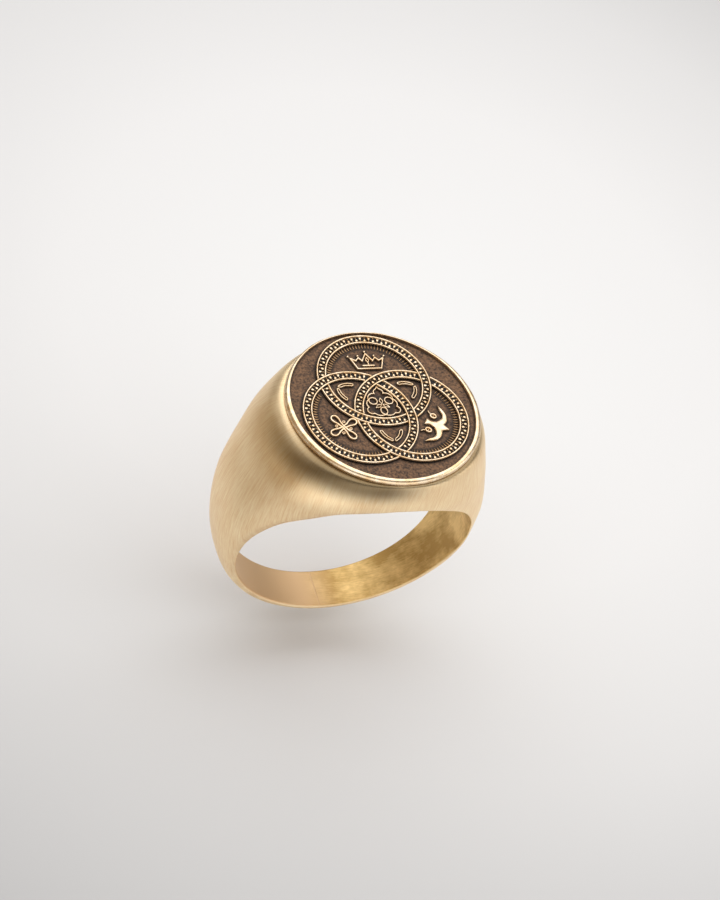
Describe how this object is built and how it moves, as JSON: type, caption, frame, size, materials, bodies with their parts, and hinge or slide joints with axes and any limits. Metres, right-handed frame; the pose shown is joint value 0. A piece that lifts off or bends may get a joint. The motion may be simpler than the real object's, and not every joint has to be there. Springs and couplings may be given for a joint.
{
  "type": "signet ring",
  "caption": "Round-faced signet ring with a domed body, a rim and a raised motif of three interlaced bands.",
  "frame": {"origin": "centre of the finger bore, half way along the finger", "axes": "+Z from the bore to the face, +Y along the finger to the top of the motif, +X to the motif's right"},
  "size_m": [0.0221, 0.0159, 0.0237],
  "materials": {
    "brushed_gold": "satin",
    "polished_gold": "polished",
    "oxidised_ground": "matte",
    "solder": "satin"
  },
  "bodies": {
    "root": {"ring_body": "brushed_gold", "shank_solder_seam": "solder", "face_plate": "oxidised_ground", "bezel_rim": "polished_gold", "band_crown_ring": "polished_gold", "band_cross_ring": "polished_gold", "band_dove_ring": "polished_gold", "crown_charge": "polished_gold", "cross_charge": "polished_gold", "dove_charge": "polished_gold", "lens_leaves": "polished_gold", "rosette_frame": "polished_gold", "rosette_rings": "polished_gold", "rosette_petals": "polished_gold"}
  },
  "joints": []
}
